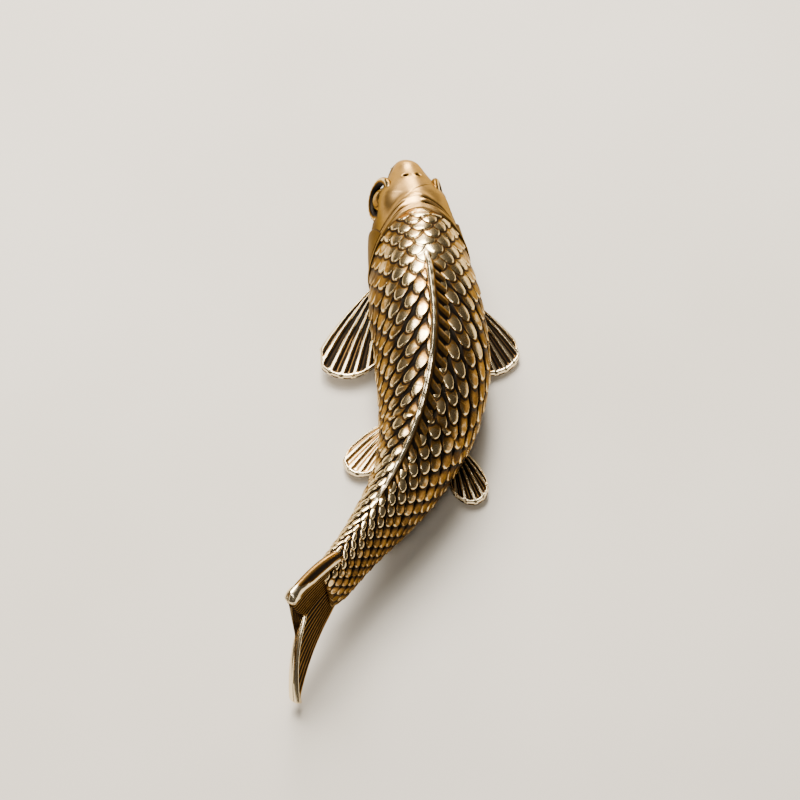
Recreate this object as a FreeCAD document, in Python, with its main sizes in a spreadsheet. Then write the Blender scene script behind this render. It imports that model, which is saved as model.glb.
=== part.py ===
import FreeCAD, Part
import Sketcher
import math
import os

# Carp figurine in brass, in millimetres: head towards +Y, back up, belly flat on Z = 0.
# Every position is taken from a spine that runs backwards from the snout: straight through the head
# and shoulders, then an arc to the fish's left, then straight again through the tail stalk.

doc = FreeCAD.newDocument("carp_figurine")
sheet = doc.addObject("Spreadsheet::Sheet", "Sizes")

# --------------------------------------------------------------------------------------------------
# Driving dimensions
# --------------------------------------------------------------------------------------------------

SPINE = {
    "start_x": -0.81,
    "start_y": 40.62,
    "head_yaw": -7.4,
    "straight_length": 29.4,
    "bend_radius": 39.6,
    "bend_length": 28.0,
    "head_roll": 6.5,
    "twist_rate": 0.18,
    "axis_height": 8.5,
}

# Sections of the trunk: distance from the snout, half width, height of the back, height of the belly.
SECTIONS = {
    "snout": (0.0, 0.8, 8.9, 7.2),
    "lips": (0.9, 1.7, 10.8, 5.4),
    "muzzle": (2.6, 2.5, 12.3, 3.8),
    "cheek": (7.0, 4.3, 14.9, 1.4),
    "nape": (12.0, 5.9, 16.7, 0.2),
    "gill": (18.0, 6.6, 18.0, -0.3),
    "shoulder": (25.0, 7.5, 18.5, -0.4),
    "back": (33.0, 7.6, 18.1, -0.4),
    "waist": (41.0, 6.7, 16.8, -0.1),
    "vent": (49.0, 5.0, 14.9, 0.9),
    "stalk": (57.0, 3.5, 13.3, 2.4),
    "wrist": (64.0, 2.5, 12.4, 3.5),
    "root": (70.0, 2.0, 12.5, 3.8),
    "fringe": (72.5, 1.3, 12.2, 4.3),
}

HEAD = {
    "gill_line_along": 5.7,
    "gill_line_height": 6.5,
    "gill_line_radius": 12.8,
    "jaw_length": 5.6,
    "jaw_height": 5.0,
    "jaw_pitch": 24.0,
    "jaw_block": 12.0,
    "eye_along": 7.9,
    "eye_side": 3.55,
    "eye_shift": -0.2,
    "eye_lag": 0.6,
    "eye_height": 11.3,
    "eye_radius": 1.95,
    "eye_sink": 0.5,
    "eye_tilt": 20.0,
    "eye_sway": 4.0,
    "ring_radius": 2.55,
    "ring_thickness": 0.55,
    "ring_out": 0.45,
    "brow_side": 1.6,
    "brow_height": 12.1,
    "brow_wide": 2.55,
    "brow_high": 2.6,
    "brow_long": 5.2,
    "brow_pitch": 22.0,
    "cover_rise": 0.3,
    "cover_seat": 0.55,
    "cover_overhang": 0.4,
    "cover_front_along": 20.0,
    "cover_front_radius": 9.0,
    "cover_foot": 1.8,
}

# The fin on the back lies folded to the fish's right. Its sections: distance from the snout, height of the
# trunk there, how far the ridge stands over it, and how far the folded rays reach to the right.
FOLD = {
    "fold_front": (21.6, 18.3, 0.2, 0.5),
    "fold_lobe": (25.0, 18.5, 1.4, 2.1),
    "fold_back": (33.0, 18.1, 1.6, 2.2),
    "fold_waist": (41.0, 16.8, 1.3, 2.0),
    "fold_vent": (49.0, 14.9, 0.9, 1.6),
    "fold_stalk": (57.0, 13.3, 0.4, 0.9),
    "fold_end": (60.0, 12.9, 0.0, 0.4),
}
DORSAL = {
    "ridge_half": 0.28,
    "ridge_bevel": 0.22,
    "fold_foot": 0.15,
    "fold_sink": 1.3,
    "ray_first": 23.6,
    "ray_pitch": 1.8,
    "ray_groove": 0.5,
    "ray_above": 0.22,
    "ray_length": 4.0,
    "ray_slant": 40.0,
    "ray_fall": 38.0,
}
RAY_GROOVES = 18

# Fins that open like fans. The fan is a ruled loft between two pleated sections, one ridge to each ray.
# "across" is the width of the root; "first" and "last" are the angles of the outermost rays in the fan's
# plane, the leading one first; "bow_first" and "bow_last" are their angles out of that plane. The fan is
# turned outwards from the tail's way, tilted down, and trimmed by an oval whose middle lies "trim_out" from
# the root.
FANS = {
    "left_pectoral": dict(along=18.9, side=-5.2, height=4.2, turn=19.5, tilt=15.0, across=4.0, first=-26.0,
                          last=24.0, bow_first=0.0, bow_last=0.0, length=16.0, root_web=1.4, tip_web=0.5,
                          rib=0.22, trim_out=5.0, trim_across=-3.0, trim_long=7.4, trim_wide=5.9),
    "right_pectoral": dict(along=20.8, side=5.5, height=4.2, turn=21.0, tilt=15.0, across=2.4, first=-23.5,
                           last=25.0, bow_first=0.0, bow_last=0.0, length=15.0, root_web=1.4, tip_web=0.5,
                           rib=0.22, trim_out=4.0, trim_across=0.9, trim_long=7.4, trim_wide=5.8),
    "left_pelvic": dict(along=39.2, side=-4.3, height=2.8, turn=31.0, tilt=10.0, across=1.8, first=-20.0,
                        last=21.0, bow_first=0.0, bow_last=0.0, length=12.0, root_web=1.1, tip_web=0.5,
                        rib=0.2, trim_out=4.9, trim_across=-0.9, trim_long=4.8, trim_wide=3.3),
    "right_pelvic": dict(along=42.6, side=3.7, height=2.8, turn=32.0, tilt=14.0, across=1.4, first=-24.0,
                         last=22.0, bow_first=0.0, bow_last=0.0, length=10.0, root_web=1.1, tip_web=0.5,
                         rib=0.2, trim_out=3.7, trim_across=0.3, trim_long=4.2, trim_wide=2.9),
}
FAN_RAYS = {"left_pectoral": 9, "right_pectoral": 9, "left_pelvic": 7, "right_pelvic": 7}

ANAL = dict(along=53.8, height=3.4, across=2.4, first=-10.0, last=12.0, bow_first=0.0, bow_last=0.0,
            length=3.8, root_web=1.0, tip_web=0.5, rib=0.14, turn=20.0)
ANAL_RAYS = 6

TAIL = dict(along=68.0, height=8.2, across=8.0, first=-22.0, last=44.0, bow_first=-15.5, bow_last=2.0,
            length=19.0, root_web=1.4, tip_web=0.8, rib=0.24)
TAIL_BENDS = (0.0, 0.35, 0.7, 1.0)
TAIL_RAYS = 13

# The tail's outline: distances out from its root inside the stalk, heights, and radii of its arcs.
TAIL_OUTLINE = {
    "tail_root_out": 0.0,
    "tail_root_low": 4.4,
    "tail_root_high": 12.0,
    "tail_low_out": 16.0,
    "tail_low_height": 0.5,
    "tail_low_corner_out": 16.7,
    "tail_low_corner_height": 1.6,
    "tail_high_out": 10.2,
    "tail_high_height": 16.4,
    "tail_high_corner_out": 11.0,
    "tail_high_corner_height": 15.4,
    "tail_notch_out": 8.8,
    "tail_notch_height": 10.0,
    "tail_upper_edge": 16.0,
    "tail_lower_edge": 40.0,
    "tail_upper_fork": 14.0,
    "tail_lower_fork": 18.0,
}

GROUND_DEPTH = 5.0
GROUND_SPAN = 120.0
THROUGH = 40.0


# --------------------------------------------------------------------------------------------------
# Sheet
# --------------------------------------------------------------------------------------------------

def cell(alias, content):
    """Writes one named cell on the sheet's next free row."""
    cell.row += 1
    sheet.set("A%d" % cell.row, alias)
    sheet.set("B%d" % cell.row, content)
    sheet.setAlias("B%d" % cell.row, alias)


cell.row = 0


def plain_cells(sizes, prefix=""):
    """Writes plain numbers from a dictionary."""
    for alias, value in sizes.items():
        cell(prefix + alias, "%g" % value)


def spine_cells(name):
    """Works out the spine's point, heading and roll at the distance held by the cell NAME_along."""
    along = name + "_along"
    cell(name + "_fore", "=min(%s; straight_length)" % along)
    cell(name + "_bend", "=min(max(%s - straight_length; 0); bend_length)" % along)
    cell(name + "_aft", "=max(%s - straight_length - bend_length; 0)" % along)
    cell(name + "_yaw", "=head_yaw + %s_bend / bend_radius * 180 / pi" % name)
    cell(name + "_roll", "=head_roll - twist_rate * %s" % along)
    swing = "bend_radius * (cos({0}_yaw) - cos(head_yaw)) - {0}_aft * sin({0}_yaw)".format(name)
    reach = "bend_radius * (sin({0}_yaw) - sin(head_yaw)) + {0}_aft * cos({0}_yaw)".format(name)
    cell(name + "_x", "=start_x - %s_fore * sin(head_yaw) + %s" % (name, swing))
    cell(name + "_y", "=start_y - %s_fore * cos(head_yaw) - (%s)" % (name, reach))


plain_cells(SPINE)
for station, (along, half_width, top, bottom) in SECTIONS.items():
    plain_cells({"along": along, "half_width": half_width, "top": top, "bottom": bottom}, station + "_")
    spine_cells(station)
plain_cells(HEAD)
for landmark in ("gill_line", "eye", "cover_front"):
    spine_cells(landmark)
plain_cells(DORSAL)
for station, (along, top, rise, reach) in FOLD.items():
    plain_cells({"along": along, "top": top, "rise": rise, "reach": reach}, station + "_")
    spine_cells(station)
for groove in range(RAY_GROOVES):
    cell("groove%d_along" % groove, "=ray_first + ray_pitch * %d" % groove)
    spine_cells("groove%d" % groove)
for fan, sizes in list(FANS.items()) + [("anal", ANAL), ("tail", TAIL)]:
    plain_cells(sizes, fan + "_")
    spine_cells(fan)
plain_cells(TAIL_OUTLINE)
plain_cells({"ground_depth": GROUND_DEPTH, "ground_span": GROUND_SPAN, "through": THROUGH})
doc.recompute()


def size(alias):
    """Reads a cell as a number."""
    return float(sheet.get(alias))


# --------------------------------------------------------------------------------------------------
# Helpers
# --------------------------------------------------------------------------------------------------

CROSSWISE = "rotationz(-90) * rotationy(-90)"    # a profile's X up, its Y across the fish
SIDEWAYS = "rotationy(90)"                       # an axis that lies across the fish
EYE_AHEAD = {-1: "0", 1: "-[eye_lag]"}           # the right eye sits a little behind the left one
UNTURNED = "rotationz(0)"


def prefixed(expression):
    """Turns aliases written as [alias] into references to the sheet."""
    return expression.replace("[", "Sizes.").replace("]", "")


def seat(thing, station, side="0", ahead="0", height="[axis_height]", turns=UNTURNED, then=None):
    """Binds a Placement to a spine station: offsets across, forwards and up, then turns of its own."""
    heading = "rotationz(-[{0}_yaw]) * rotationy([{0}_roll])".format(station)
    frame = "placement(vector([{0}_x]; [{0}_y]; [axis_height]); {1})".format(station, heading)
    offset = "placement(vector(%s; %s; %s - [axis_height]); %s)" % (side, ahead, height, turns)
    steps = [frame, offset] + ([then] if then else [])
    thing.setExpression("Placement", prefixed(" * ".join(steps)))
    return thing


def add(kind, label, **bound):
    """Adds a document object whose properties are bound to sheet expressions."""
    thing = doc.addObject(kind, label)
    for name, expression in bound.items():
        thing.setExpression(name, prefixed(expression))
    return thing


def combine(kind, label, shapes):
    """Fuses or intersects a list of objects."""
    thing = doc.addObject(kind, label)
    thing.Shapes = shapes
    return thing


def cut(label, base, tool):
    """Takes one object away from another."""
    thing = doc.addObject("Part::Cut", label)
    thing.Base = base
    thing.Tool = tool
    return thing


def loft(label, sections):
    """Lofts a smooth solid through closed sections."""
    thing = doc.addObject("Part::Loft", label)
    thing.Sections = sections
    thing.Solid = True
    thing.Ruled = False
    return thing


def prism(label, profile, both_ways):
    """Extrudes a closed profile along its normal, half of the length to each side."""
    thing = doc.addObject("Part::Extrusion", label)
    thing.Base = profile
    thing.DirMode = "Normal"
    thing.Solid = True
    thing.Symmetric = True
    thing.setExpression("LengthFwd", prefixed(both_ways))
    return thing


def trunk_section(station, grow="0"):
    """One upright ellipse of the trunk, grown by an amount on every side."""
    major = "([{0}_top] - [{0}_bottom]) / 2 + {1}".format(station, grow)
    minor = "[{0}_half_width] + {1}".format(station, grow)
    ellipse = add("Part::Ellipse", "section_" + station, MajorRadius=major, MinorRadius=minor)
    return seat(ellipse, station, height="([{0}_top] + [{0}_bottom]) / 2".format(station), turns=CROSSWISE)


def pleated_section(fan, rays, reach, hand):
    """Closed wire across a fan at a share of its length: a ridge on each ray, a valley between rays."""
    run = size(fan + "_length") * reach
    web = size(fan + "_root_web") + (size(fan + "_tip_web") - size(fan + "_root_web")) * reach
    steps = range(2 * rays - 1)
    upper = []
    lower = []
    for step in steps if hand > 0 else reversed(steps):
        share = step / (2.0 * rays - 2.0)
        lift = web / 2 + (size(fan + "_rib") if step % 2 == 0 else 0.0)
        angle = size(fan + "_first") + (size(fan + "_last") - size(fan + "_first")) * share
        bow = size(fan + "_bow_first") + (size(fan + "_bow_last") - size(fan + "_bow_first")) * share
        middle = run * reach * math.tan(math.radians(bow))
        crosswise = hand * ((share - 0.5) * size(fan + "_across") + run * math.tan(math.radians(angle)))
        upper.append(FreeCAD.Vector(middle + lift, run, crosswise))
        lower.append(FreeCAD.Vector(middle - lift, run, crosswise))
    corners = upper + lower[::-1]
    return Part.makePolygon(corners + corners[:1])


def pleated_fan(fan, rays, hand=1, reaches=(0.0, 1.0)):
    """Ruled loft through pleated sections from a fan's root to beyond its tip, more of them where it bends.

    A pleated section has no primitive of its own, so the shape is set here. Its frame has X through
    the fin, Y out along it and Z across the rays.
    """
    blade = doc.addObject("Part::Feature", fan + "_rays")
    sections = [pleated_section(fan, rays, reach, hand) for reach in reaches]
    blade.Shape = Part.makeLoft(sections, True, True)
    return blade


def outline_sketch(name, corners, bends):
    """Closed sketch through corners given as pairs of cells.

    A bend is None for a straight edge, or the cell of an arc's radius and +1 or -1 for an arc that
    swells to the left or right of the way along it. Corners and radii are bound to the sheet.
    """
    sketch = doc.addObject("Sketcher::SketchObject", name)
    points = [FreeCAD.Vector(size(out), size(up), 0) for out, up in corners]
    for edge, bend in enumerate(bends):
        start = points[edge]
        end = points[(edge + 1) % len(points)]
        if bend is None:
            sketch.addGeometry(Part.LineSegment(start, end))
            continue
        radius, swell = bend
        half = (end - start) * 0.5
        sagitta = size(radius) - math.sqrt(size(radius) ** 2 - half.Length ** 2)
        outward = FreeCAD.Vector(-half.y, half.x, 0).normalize() * sagitta * swell
        sketch.addGeometry(Part.Arc(start, start + half + outward, end))
    for edge, bend in enumerate(bends):
        swapped = bend is not None and bend[1] > 0
        before = bends[edge - 1]
        before_end = 1 if before is not None and before[1] > 0 else 2
        corner = 2 if swapped else 1
        previous = (edge - 1) % len(bends)
        sketch.addConstraint(Sketcher.Constraint("Coincident", previous, before_end, edge, corner))
        for way, alias in zip(("DistanceX", "DistanceY"), corners[edge]):
            index = sketch.addConstraint(Sketcher.Constraint(way, -1, 1, edge, corner, size(alias)))
            sketch.setExpression("Constraints[%d]" % index, prefixed("[%s]" % alias))
        if bend is not None:
            index = sketch.addConstraint(Sketcher.Constraint("Radius", edge, size(bend[0])))
            sketch.setExpression("Constraints[%d]" % index, prefixed("[%s]" % bend[0]))
    return sketch


# --------------------------------------------------------------------------------------------------
# Trunk, cut flat on the ground and parted along the gill line
# --------------------------------------------------------------------------------------------------

trunk = loft("trunk", [trunk_section(station) for station in SECTIONS])
ground = add("Part::Box", "ground", Length="[ground_span]", Width="[ground_span]", Height="[ground_depth]")
ground.setExpression("Placement", prefixed("placement(vector(-[ground_span] / 2; -[ground_span] / 2; "
                                           "-[ground_depth]); rotationz(0))"))
figure = cut("figure", trunk, ground)

head_side = add("Part::Cylinder", "head_side", Radius="[gill_line_radius]", Height="[through]")
seat(head_side, "gill_line", side="-[through] / 2", height="[gill_line_height]", turns=SIDEWAYS)

# --------------------------------------------------------------------------------------------------
# Gill covers: shells between a grown and a shrunken trunk, inside a pointed oval seen from the side
# --------------------------------------------------------------------------------------------------

COVERED = ("muzzle", "cheek", "nape", "gill", "shoulder", "back")
cover_outside = loft("cover_outside", [trunk_section(station, "[cover_rise]") for station in COVERED])
cover_inside = loft("cover_inside", [trunk_section(station, "-[cover_seat]") for station in COVERED])


def gill_cover(name, side):
    """The shell's prism on one side of the fish, and the shell itself."""
    rear = add("Part::Cylinder", name + "_rear", Radius="[gill_line_radius] + [cover_overhang]",
               Height="[through]")
    seat(rear, "gill_line", side="-[through] / 2", height="[gill_line_height]", turns=SIDEWAYS)
    front = add("Part::Cylinder", name + "_front", Radius="[cover_front_radius]", Height="[through]")
    seat(front, "cover_front", side="-[through] / 2", height="[gill_line_height]", turns=SIDEWAYS)
    half = add("Part::Box", name + "_half", Length="[through] / 2", Width="[through]", Height="[through]")
    edge = "0" if side > 0 else "-[through] / 2"
    seat(half, "gill_line", side=edge, ahead="-[through] / 2", height="[cover_foot]")
    outline = combine("Part::MultiCommon", name + "_outline", [rear, front, half])
    pocket = cut(name + "_pocket", outline, cover_inside)
    shell = doc.addObject("Part::Common", name)
    shell.Base = pocket
    shell.Tool = cover_outside
    return pocket, shell


left_pocket, left_cover = gill_cover("left_gill_cover", -1)
right_pocket, right_cover = gill_cover("right_gill_cover", 1)

# --------------------------------------------------------------------------------------------------
# Eyes with their rims, and the jaw
# --------------------------------------------------------------------------------------------------


def eye(name, side):
    """A ball in the cheek and the rim around it, facing outwards and a little up."""
    tilt = "([eye_tilt] - %d * [eye_sway])" % side
    facing = "rotationy(%d * (90 - %s))" % (side, tilt)

    def outward(thing, reach):
        """Seats a thing at a distance out from the eye's point in the cheek."""
        across = "[eye_shift] + %d * ([eye_side] + %s * cos(%s))" % (side, reach, tilt)
        return seat(thing, "eye", side=across, ahead=EYE_AHEAD[side],
                    height="[eye_height] + %s * sin(%s)" % (reach, tilt), turns=facing)

    ball = outward(add("Part::Sphere", name, Radius="[eye_radius]"), "-[eye_sink]")
    rim = add("Part::Torus", name + "_ring", Radius1="[ring_radius]", Radius2="[ring_thickness]")
    return ball, outward(rim, "[ring_out]")


def brow(name, side):
    """The swelling of the forehead over an eye, which covers the upper part of its rim."""
    swelling = add("Part::Ellipsoid", name, Radius1="[brow_high]", Radius2="[brow_wide]",
                   Radius3="[brow_long]")
    return seat(swelling, "eye", side="[eye_shift] + %d * [brow_side]" % side, ahead=EYE_AHEAD[side],
                height="[brow_height]", turns="rotationx(-[brow_pitch])")


left_eye, left_ring = eye("left_eye", -1)
right_eye, right_ring = eye("right_eye", 1)

jaw_block = add("Part::Box", "jaw_block", Length="[jaw_block]", Width="[jaw_block]", Height="[jaw_block]")
jaw_frame = ("placement(vector([start_x]; [start_y]; [jaw_height]); rotationz(-[head_yaw]))"
             " * placement(vector(-[jaw_block] / 2; -[jaw_length]; 0); rotationx([jaw_pitch]))"
             " * placement(vector(0; 0; -[jaw_block]); rotationz(0))")
jaw_block.setExpression("Placement", prefixed(jaw_frame))

head_egg = doc.addObject("Part::Common", "head_egg")
head_egg.Base = figure
head_egg.Tool = head_side
brows = [brow("left_brow", -1), brow("right_brow", 1)]
head_blank = combine("Part::MultiFuse", "head_blank", [head_egg] + brows)
lower_jaw = doc.addObject("Part::Common", "lower_jaw")
lower_jaw.Base = head_blank
lower_jaw.Tool = jaw_block
head_tools = combine("Part::MultiFuse", "head_tools", [left_pocket, right_pocket, left_eye, right_eye,
                                                      left_ring, right_ring, jaw_block])
head = cut("head", head_blank, head_tools)

# --------------------------------------------------------------------------------------------------
# Fin on the back: a loft through folded sections, grooved between its rays
# --------------------------------------------------------------------------------------------------


def fold_section(station):
    """Section across the folded fin: steep on the left, a narrow ridge, and a slope down to the right."""
    high = "[{0}_top] + [{0}_rise]".format(station)
    low = "[%s_top] - [fold_sink]" % station
    corners = [("-[ridge_half] - [fold_foot]", low),
               ("-[ridge_half]", high + " - [ridge_bevel]"),
               ("0", high),
               ("[ridge_half]", high + " - [ridge_bevel]"),
               ("[%s_reach]" % station, "[%s_top] - [fold_foot]" % station),
               ("[%s_reach]" % station, low)]
    names = []
    for number, pair in enumerate(corners):
        aliases = ["%s_%s%d" % (station, way, number) for way in ("across", "up")]
        for alias, content in zip(aliases, pair):
            cell(alias, "=" + content.replace("[", "").replace("]", ""))
        names.append(aliases)
    doc.recompute()
    section = outline_sketch("section_" + station, names, [None] * len(names))
    return seat(section, station, height="0", turns="rotationx(90)")


def ridge_height(along):
    """Expression of the ridge's height at a distance held by a cell, from the sections on both sides."""
    place = size(along)
    order = list(FOLD)
    after = next(station for station in order[1:] if size(station + "_along") >= place)
    before = order[order.index(after) - 1]
    span = "([{0}_along] - [{1}_along])".format(after, before)
    weight = "(([%s] - [%s_along]) / %s)" % (along, before, span)
    ends = ["([{0}_top] + [{0}_rise])".format(station) for station in (before, after)]
    return "({0} + ({1} - {0}) * {2})".format(ends[0], ends[1], weight)


def ray_groove(number):
    """Cylinder that cuts the groove between two rays, slanting back and down from the ridge."""
    name = "groove%d" % number
    groove = add("Part::Cylinder", name, Radius="[ray_groove]", Height="[ray_length]")
    return seat(groove, name, side="[ridge_half]", height=ridge_height(name + "_along") + " + [ray_above]",
                turns="rotationz(-[ray_slant]) * rotationy(90 + [ray_fall])")


folded_blank = loft("folded_blank", [fold_section(station) for station in FOLD])
grooves = combine("Part::MultiFuse", "grooves", [ray_groove(number) for number in range(RAY_GROOVES)])
dorsal_fin = cut("dorsal_fin", folded_blank, grooves)

# --------------------------------------------------------------------------------------------------
# Fans: paired fins trimmed by an oval, the fin under the stalk, and the forked tail
# --------------------------------------------------------------------------------------------------


def paired_fin(fan, rays, side):
    """A fan that leaves the flank backwards and outwards, dips to the ground and ends in an oval."""
    turns = "rotationz(180 + %d * [%s_turn]) * rotationy(-90) * rotationz([%s_tilt])" % (side, fan, fan)
    blade = pleated_fan(fan, rays, -side)
    seat(blade, fan, side="[%s_side]" % fan, height="[%s_height]" % fan, turns=turns)
    oval = add("Part::Ellipse", fan + "_oval", MajorRadius="[%s_trim_long]" % fan,
               MinorRadius="[%s_trim_wide]" % fan)
    middle = "vector(0; [{0}_trim_out]; [{0}_trim_across])".format(fan)
    seat(oval, fan, side="[%s_side]" % fan, height="[%s_height]" % fan, turns=turns,
         then="placement(%s; rotationz(90) * rotationx(90))" % middle)
    fin = doc.addObject("Part::Common", fan + "_fin")
    fin.Base = blade
    fin.Tool = prism(fan + "_trim", oval, "[through] / 4")
    return fin


fins = [paired_fin(fan, FAN_RAYS[fan], -1 if fan.startswith("left") else 1) for fan in FANS]

anal_fin = pleated_fan("anal", ANAL_RAYS)
anal_fin.Label = "anal_fin"
seat(anal_fin, "anal", height="[anal_height]", turns="rotationx(180 + [anal_turn])")

tail_rays = pleated_fan("tail", TAIL_RAYS, reaches=TAIL_BENDS)
seat(tail_rays, "tail", height="[tail_height]", turns="rotationz(180)")
tail_outline = outline_sketch(
    "tail_outline",
    [("tail_root_out", "tail_root_low"), ("tail_low_out", "tail_low_height"),
     ("tail_low_corner_out", "tail_low_corner_height"), ("tail_notch_out", "tail_notch_height"),
     ("tail_high_corner_out", "tail_high_corner_height"), ("tail_high_out", "tail_high_height"),
     ("tail_root_out", "tail_root_high")],
    [("tail_lower_edge", 1), None, ("tail_lower_fork", -1), ("tail_upper_fork", -1), None,
     ("tail_upper_edge", -1), None])
seat(tail_outline, "tail", height="0", turns="rotationz(-90) * rotationx(90)")
tail_fin = doc.addObject("Part::Common", "tail_fin")
tail_fin.Base = tail_rays
tail_fin.Tool = prism("tail_trim", tail_outline, "[through] / 2")

# --------------------------------------------------------------------------------------------------
# Body: what is left of the trunk once every piece has its seat
# --------------------------------------------------------------------------------------------------

pockets = combine("Part::MultiFuse", "pockets", [head_side, left_pocket, right_pocket])
body = cut("trunk_behind_head", figure, pockets)
for fin in fins + [dorsal_fin, anal_fin, tail_fin]:
    body = cut("trunk_seated_" + fin.Label, body, fin)
body.Label = "body"

doc.recompute()

# --------------------------------------------------------------------------------------------------
# Checks and files
# --------------------------------------------------------------------------------------------------

for thing in doc.Objects:
    if "Invalid" in thing.State or "Error" in thing.State:
        raise RuntimeError("%s did not build" % thing.Name)

pieces = [body, head, lower_jaw, left_cover, right_cover, left_eye, right_eye, left_ring, right_ring,
          dorsal_fin, anal_fin, tail_fin] + fins
os.makedirs("parts", exist_ok=True)
for piece in pieces:
    if piece.Shape.isNull() or not piece.Shape.isValid() or len(piece.Shape.Solids) != 1:
        raise RuntimeError("%s is not one sound solid" % piece.Label)
    piece.Shape.exportStep("parts/%s.step" % piece.Label)
    print("%-20s %8.1f mm3" % (piece.Label, piece.Shape.Volume))
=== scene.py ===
import logging
import math
from dataclasses import dataclass
from enum import Enum
from typing import Any, Sequence

import bpy
import numpy as np
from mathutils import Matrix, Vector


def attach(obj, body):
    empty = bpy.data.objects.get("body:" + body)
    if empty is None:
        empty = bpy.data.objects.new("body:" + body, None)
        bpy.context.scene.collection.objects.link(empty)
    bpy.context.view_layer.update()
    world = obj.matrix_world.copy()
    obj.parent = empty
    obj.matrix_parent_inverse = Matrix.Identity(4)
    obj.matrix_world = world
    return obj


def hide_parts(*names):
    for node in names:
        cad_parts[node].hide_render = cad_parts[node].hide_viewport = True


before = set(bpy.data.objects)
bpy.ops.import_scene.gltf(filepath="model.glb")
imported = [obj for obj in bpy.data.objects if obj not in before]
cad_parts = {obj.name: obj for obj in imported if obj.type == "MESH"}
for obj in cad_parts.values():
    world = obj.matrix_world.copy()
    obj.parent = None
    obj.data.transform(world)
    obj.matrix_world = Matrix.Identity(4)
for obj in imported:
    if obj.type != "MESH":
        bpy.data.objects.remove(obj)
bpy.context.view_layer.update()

# Solid brass carp on a pale floor. Shapes are worked out in millimetres in the part's own frame
# (head towards +Y, back up, belly on Z = 0) and become metres only when a mesh is made.

MM = 0.001
Array = np.ndarray
Row = tuple[float, ...]
log = logging.getLogger("carp")


class Side(Enum):
    """Side of the fish, as the sign of its distance to the right of the spine."""

    LEFT = -1
    RIGHT = 1

    def named(self, piece: str) -> str:
        """Name of a piece on this side."""
        return self.name.lower() + "_" + piece


# ---- Small tools ----


def colour(code: str) -> Row:
    """Turns an sRGB hex code into Blender's linear colour.

    Args:
        code: Hash and six hex digits.

    Returns:
        Linear red, green, blue and an alpha of one.
    """
    shares = [int(code[i:i + 2], 16) / 255 for i in (1, 3, 5)]
    return *[s / 12.92 if s <= 0.04045 else ((s + 0.055) / 1.055) ** 2.4 for s in shares], 1.0


def ease(low: float, high: float, at: Array) -> Array:
    """Rises smoothly from 0 at low to 1 at high, as 3s2 - 2s3 of the clipped share s."""
    share = np.clip((at - low) / (high - low), 0.0, 1.0)
    return share * share * (3 - 2 * share)


def bell(at: Array, middle: float, width: float) -> Array:
    """A bump of height 1 at the middle that falls off as exp(-(distance / width)2)."""
    return np.exp(-((at - middle) / width) ** 2)


def rounded(distance: Array, radius: float) -> Array:
    """Height of a quarter circle, 0 at its foot and 1 from the radius on, root of s(2 - s)."""
    share = np.clip(distance / radius, 0.0, 1.0)
    return np.sqrt(share * (2 - share))


def ridges(phase: Array, power: float) -> Array:
    """Ridges on the phase's whole numbers, 0 halfway: a cosine raised to a power."""
    return np.cos(math.pi * (phase - np.round(phase))) ** power


def scatter(first: Array, second: Array, salt: float) -> Array:
    """Repeatable random number for a pair: the fraction of a large sine of its weighted sum."""
    wave = np.sin(first * 12.9898 + second * 78.233 + salt * 37.719) * 43758.5453
    return wave - np.floor(wave)


def smooth(stations: Sequence[float], values: Sequence[float], at: Array) -> Array:
    """Interpolates without overshoot: a cubic through each value, its slope the harmonic mean of
    the slopes on both sides, or nothing where they differ in sign.

    Args:
        stations: Places of the values, rising.
        values: Values at the stations.
        at: Places to read, held within the stations.

    Returns:
        The value at each place.
    """
    x = np.asarray(stations, float)
    y = np.asarray(values, float)
    step = np.diff(x)
    slope = np.diff(y) / step
    left, right = slope[:-1], slope[1:]
    rising = left * right > 0
    total = np.where(rising, left + right, 1.0)
    tangent = np.zeros_like(y)
    tangent[1:-1] = np.where(rising, 2 * left * right / total, 0.0)
    tangent[0], tangent[-1] = slope[0], slope[-1]
    place = np.clip(at, x[0], x[-1])
    k = np.clip(np.searchsorted(x, place, "right") - 1, 0, len(step) - 1)
    s = (place - x[k]) / step[k]
    start = (1 + 2 * s) * (1 - s) ** 2 * y[k] + s * (1 - s) ** 2 * step[k] * tangent[k]
    end = s * s * (3 - 2 * s) * y[k + 1] + s * s * (s - 1) * step[k] * tangent[k + 1]
    return start + end


def turn(axis: str, degrees: float) -> Array:
    """Matrix of a turn about a main axis, right-handed."""
    c, s = math.cos(math.radians(degrees)), math.sin(math.radians(degrees))
    return {"x": np.array([[1, 0, 0], [0, c, -s], [0, s, c]]),
            "y": np.array([[c, 0, s], [0, 1, 0], [-s, 0, c]]),
            "z": np.array([[c, -s, 0], [s, c, 0], [0, 0, 1]])}[axis]


def there_and_back(count: int) -> tuple[Array, Array]:
    """Ring over one face and back under the other.

    Args:
        count: Points in the ring.

    Returns:
        Share of the width at each point, and its face, 1 on the way out and -1 on the way back.
    """
    half = count // 2
    share = np.concatenate([np.linspace(0, 1, half), np.linspace(1, 0, count - half)])
    return share[None, :], np.where(np.arange(count) < half, 1.0, -1.0)[None, :]


def angles(count: int, crowding: float = 0.35) -> Array:
    """Angles round the trunk from the belly over the back: even ones less a share of their own
    sine, which thins them under the belly."""
    even = np.linspace(-math.pi, math.pi, count, endpoint=False)
    return even - crowding * np.sin(even)


def show(name: str, data: bpy.types.ID) -> bpy.types.Object:
    """Puts an object with that data into the scene.

    Args:
        name: Name of the object.
        data: Mesh, light or camera.

    Returns:
        The object.
    """
    thing = bpy.data.objects.new(name, data)
    bpy.context.scene.collection.objects.link(thing)
    return thing


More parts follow.
